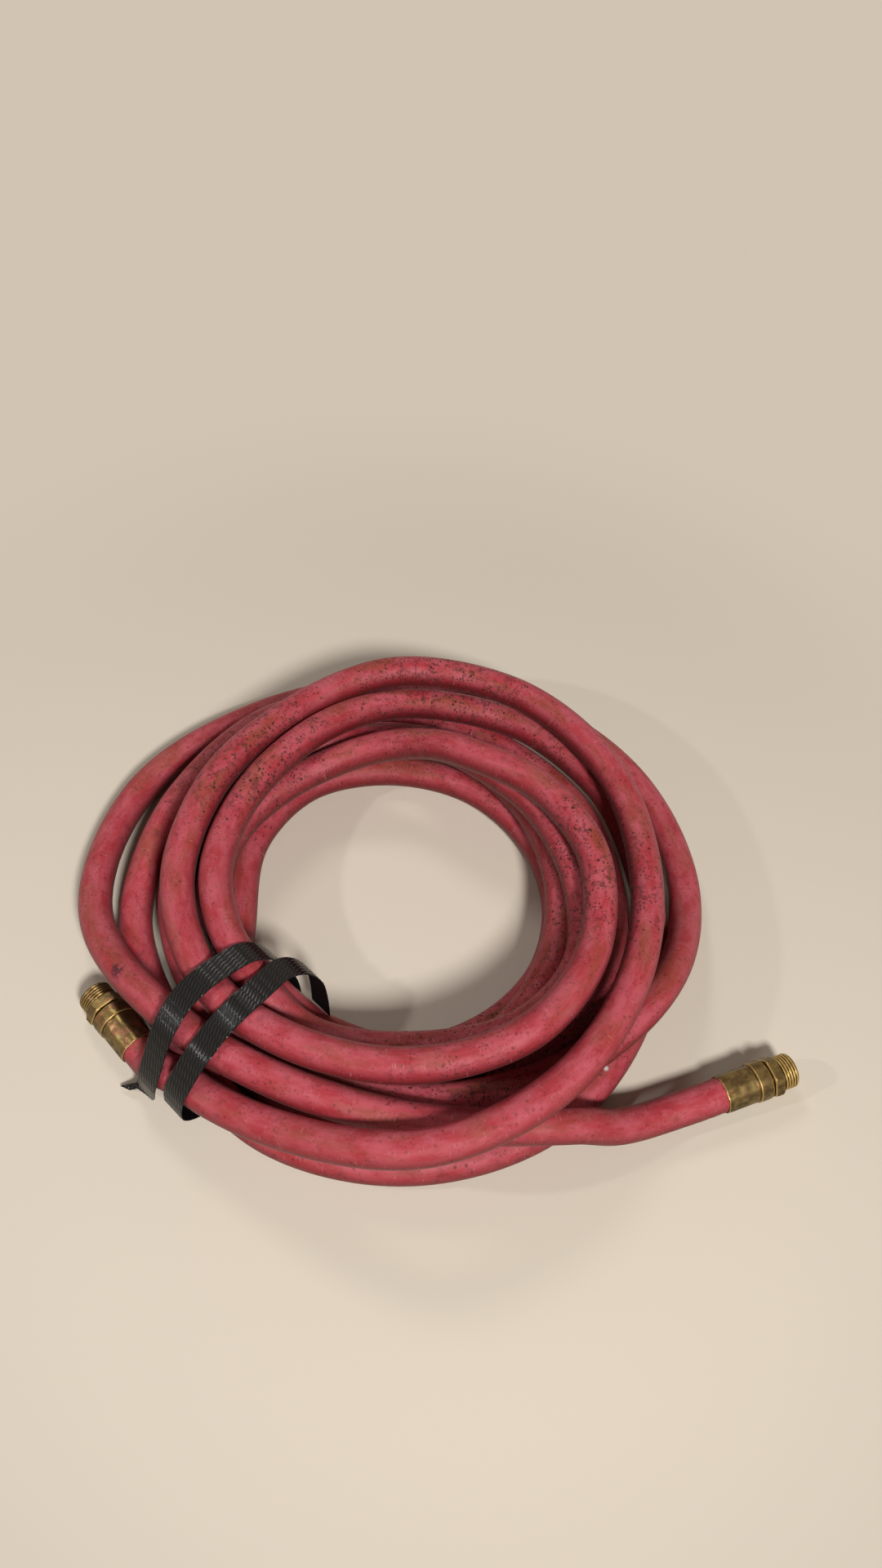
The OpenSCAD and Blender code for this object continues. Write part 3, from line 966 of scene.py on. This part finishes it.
FERRULE_BRIGHT = ((0.0, 0.0007), (SKIRT_LENGTH + 0.0003, 0.0006), (FERRULE_LENGTH, 0.0008))
FERRULE_DARK = ((SKIRT_LENGTH - 0.0006, 0.0007),)
STEM_BRIGHT = ((HEX_START + 0.0005, 0.0009), (FITTING_LENGTH, 0.0008))
STEM_DARK = ((FERRULE_LENGTH + GROOVE_LENGTH / 2, 0.0012), (THREAD_START, 0.0006))
STEM_TARNISHED = 0.88
# Each end as (side, ferrule, stem, copper, tarnished, thread's crests and hollows)
for side, ferrule, stem, copper, tarnished, thread in (
        ("left", ferrules[0], stems[0], 0.50, 0.94, (0.30, 0.95)),
        ("right", ferrules[1], stems[1], 0.12, 0.97, (0.95, 0.3))):
    dress(ferrule, aged_brass(side + "_ferrule_brass", FERRULE_BRIGHT, FERRULE_DARK, copper, tarnished))
    dress(stem, aged_brass(side + "_stem_brass", STEM_BRIGHT, STEM_DARK, copper, STEM_TARNISHED, thread))
print("brass on", [o.name for o in ferrules + stems])

# %% [markdown]
# ## Black strapping
#
# The plastic is black and glossy. The tops of its cells are painted a dark grey
# as painted light, and the grooves between them stay black as painted shade. The
# inner face is plain and dull. The strap's straight places say which face is which,
# and the same two sets of slanting lines as in the mesh say where the cells are.

# %% Make the plastic
STRAP_BLACK = colour(0.002, 0.002, 0.003)
# painted light: the grey that lifts the cell tops above the black grooves
PAINTED_LIGHT_GREY = colour(0.017, 0.017, 0.018)
STRAP_DUST = colour(0.025, 0.023, 0.022)
STRAP_GRAIN_HEIGHT = 0.00003


def black_strapping():
    material, start, shader = finish_material("black_strapping")
    straight = straight_place(start)
    across, through, along = straight.parts()
    outer_face = through.ramp_up(-0.0002, 0.0002)
    cells = outer_face
    for slant in CELL_SLANTS:
        wave = start.math("SINE", math.pi * (across / CELL_WIDTH + along / slant))
        cells = cells * start.math("ABSOLUTE", wave)
    tops = cells.ramp_up(0.15, 0.60)
    dust = straight.noise(260.0, 5.0, 0.65).ramp_up(0.45, 0.75) * 0.5
    # painted light on the cell tops, which leaves the grooves black as painted shade
    black = start.between(STRAP_BLACK, PAINTED_LIGHT_GREY, tops)
    black = black.blend_to(STRAP_DUST, dust * tops)
    feed(shader, "Base Color", black)
    feed(shader, "Roughness", 0.62 - 0.39 * outer_face - 0.08 * tops + 0.08 * dust)
    shader.inputs["Specular IOR Level"].default_value = 0.26
    height = straight.noise(2200.0, 3.0) * STRAP_GRAIN_HEIGHT
    raise_surface(shader, height)
    return material


dress(embossed_strap, black_strapping())
print("strap dressed")

# %% [markdown]
# ## Attach each piece and hide its solid
#
# Every piece rides with the object's one body and stands for a solid of its
# own, which is hidden.

for piece, node, slot in ((gas_hose, "hose", "hose_rubber"),
                          (ferrules[0], "left_ferrule", "ferrule_brass"),
                          (ferrules[1], "right_ferrule", "ferrule_brass"),
                          (stems[0], "left_stem", "stem_brass"),
                          (stems[1], "right_stem", "stem_brass"),
                          (embossed_strap, "strap", "strap_plastic")):
    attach(piece, "root")
    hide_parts(node)

# %% [markdown]
# ## A pale floor and soft light
#
# The photograph's light comes from in front of the coil and above it, a little
# from the right, and its shadows are soft at the edge. A large lamp does that.
# A second, weak one on the left makes the strap glint where it crosses the
# outer turn, and a third, also weak, stands behind and lights the far side of
# the crowns. What fills the shadows is weak and warm, so the world is a faint
# brown. The floor's cream colour is its own. Away from the coil the floor shows
# one even pale tone to the camera, so that the lamp's falling strength doesn't
# draw a dark band behind the object.

# %% Light the scene
FLOOR_CREAM = colour(0.80, 0.725, 0.62)
PALE_TONE = colour(0.64, 0.55, 0.445)
FILL_BROWN = colour(1.0, 0.80, 0.62)
FLOOR_FADE = (0.27, 0.56)
FLOOR_HALF = 3.0
LOOK_AT = Vector((0.0, 0.0, 0.03))
WARM_WHITE = (1.0, 0.97, 0.93)
NEAR_WHITE = (1.0, 0.99, 0.98)
# Each lamp as (name, place, width in metres, power in watts, tint)
LAMPS = (("front lamp", (0.44, -1.64, 1.82), 0.44, 49.0, WARM_WHITE),
         ("left lamp", (-0.95, -0.22, 0.80), 0.050, 2.0, NEAR_WHITE),
         ("back lamp", (-0.45, 1.15, 1.55), 0.50, 5.5, WARM_WHITE))
WORLD_STRENGTH = 0.07


def seen_rays(start):
    """1 for rays that see a surface, 0 for those that carry its light to others."""
    seen = start.node("ShaderNodeLightPath", out="Is Camera Ray")
    for ray in ("Is Glossy Ray", "Is Transmission Ray"):
        seen = start.math("MAXIMUM", seen, start.node("ShaderNodeLightPath", out=ray))
    return seen


def pale_floor():
    mesh = bpy.data.meshes.new("floor")
    corners = [(-FLOOR_HALF, -FLOOR_HALF, 0), (FLOOR_HALF, -FLOOR_HALF, 0),
               (FLOOR_HALF, FLOOR_HALF, 0), (-FLOOR_HALF, FLOOR_HALF, 0)]
    mesh.from_pydata(corners, [], [(0, 1, 2, 3)])
    floor = bpy.data.objects.new("floor", mesh)
    bpy.context.scene.collection.objects.link(floor)
    material, start, shader = finish_material("pale_floor")
    feed(shader, "Base Color", FLOOR_CREAM)
    feed(shader, "Roughness", 0.6)
    shader.inputs["Specular IOR Level"].default_value = 0.25
    place = start.node("ShaderNodeTexCoord", out=3)
    away = start.node("ShaderNodeVectorMath", {"operation": "LENGTH"}, {0: place}, out=1)
    even = start.node("ShaderNodeEmission", feeds={"Color": PALE_TONE, "Strength": 1.0})
    tree = material.node_tree
    both = start.node("ShaderNodeMixShader", feeds={0: seen_rays(start) * away.ramp_up(*FLOOR_FADE),
                                                    1: Flow(tree, shader.outputs[0]), 2: even})
    tree.links.new(both.socket, tree.nodes["Material Output"].inputs["Surface"])
    mesh.materials.append(material)
    return floor


def soft_lamp(name, place, width, power, tint):
    lamp = bpy.data.lights.new(name, "AREA")
    lamp.shape = "DISK"
    lamp.size = width
    lamp.energy = power
    lamp.color = tint
    thing = bpy.data.objects.new(name, lamp)
    bpy.context.scene.collection.objects.link(thing)
    thing.location = place
    thing.rotation_mode = "QUATERNION"
    thing.rotation_quaternion = (LOOK_AT - Vector(place)).to_track_quat("-Z", "Y")
    return thing


def pale_world(strength):
    world = bpy.data.worlds.new("faint brown world")
    world.use_nodes = True
    bpy.context.scene.world = world
    tree = world.node_tree
    start = Flow(tree)
    light = start.node("ShaderNodeBackground", feeds={"Color": FILL_BROWN, "Strength": strength})
    pale = start.node("ShaderNodeBackground", feeds={"Color": PALE_TONE, "Strength": 1.0})
    both = start.node("ShaderNodeMixShader", feeds={0: seen_rays(start), 1: light, 2: pale})
    tree.links.new(both.socket, tree.nodes["World Output"].inputs["Surface"])


pale_floor()
for lamp in LAMPS:
    soft_lamp(*lamp)
pale_world(WORLD_STRENGTH)
print("lamps set:", [lamp[0] for lamp in LAMPS])
